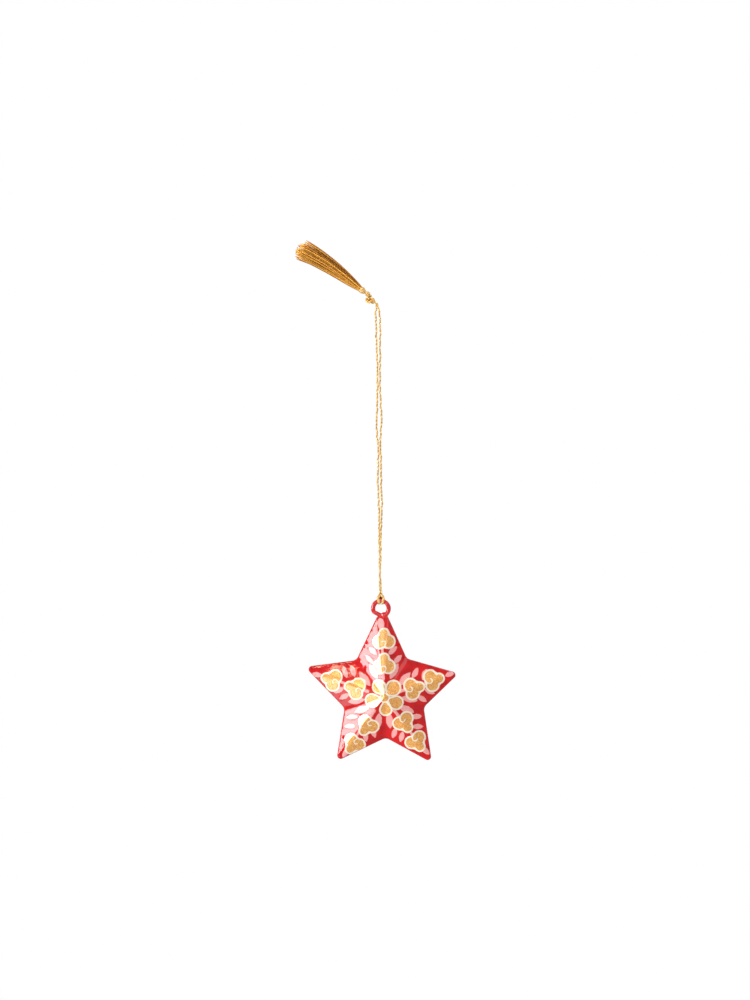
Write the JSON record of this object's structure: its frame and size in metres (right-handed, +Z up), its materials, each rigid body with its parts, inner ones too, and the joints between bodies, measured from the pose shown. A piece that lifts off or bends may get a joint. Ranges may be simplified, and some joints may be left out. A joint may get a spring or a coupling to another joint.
{
  "type": "hanging tin star ornament",
  "caption": "Hollow pressed tin star lacquered red with painted flowers, hung by a wire eye from a doubled gold thread that ends in a knot and a tassel.",
  "frame": {"origin": "crotch of the thread loop under the top knot, where the ornament hangs on a hook", "axes": "+Z up along the hanging thread, +X to the star's right seen from the front, -Y out of the front face"},
  "size_m": [0.0757, 0.024, 0.2503],
  "materials": {
    "lacquered_tin": "glossy red lacquer over pressed tin",
    "lacquered_wire": "thick glossy red lacquer over steel wire",
    "gold_thread": "twisted ochre gold thread",
    "pale_thread": "pale gold wound thread"
  },
  "bodies": {
    "knot": {"cord_knot": "gold_thread"},
    "tassel": {"tassel_binding": "pale_thread", "tassel_fringe": "gold_thread"},
    "cord": {"cord_left_strand": "gold_thread", "cord_right_strand": "gold_thread"},
    "hitch": {"cord_hitch": "gold_thread"},
    "star": {"front_shell": "lacquered_tin", "rear_shell": "lacquered_tin", "rim_solder": "lacquered_tin", "hanging_eye": "lacquered_wire", "eye_solder": "lacquered_tin"}
  },
  "joints": [
    {"name": "cord_sway", "type": "hinge", "parent": "knot", "child": "cord", "pos_m": [0, 0, 0], "axis": [0, -1, 0], "range_deg": [-40, 40]},
    {"name": "star_spin", "type": "hinge", "parent": "cord", "child": "hitch", "pos_m": [-0.00035, 0, -0.1379], "axis": [0, 0, 1], "range_deg": [-180, 180]},
    {"name": "star_nod", "type": "hinge", "parent": "hitch", "child": "star", "pos_m": [-0.00035, 0, -0.14177], "axis": [1, 0, 0], "range_deg": [-120, 120]},
    {"name": "tassel_swing", "type": "hinge", "parent": "knot", "child": "tassel", "pos_m": [-0.00434, 0, 0.00609], "axis": [0, -1, 0], "range_deg": [-55, 50]}
  ]
}
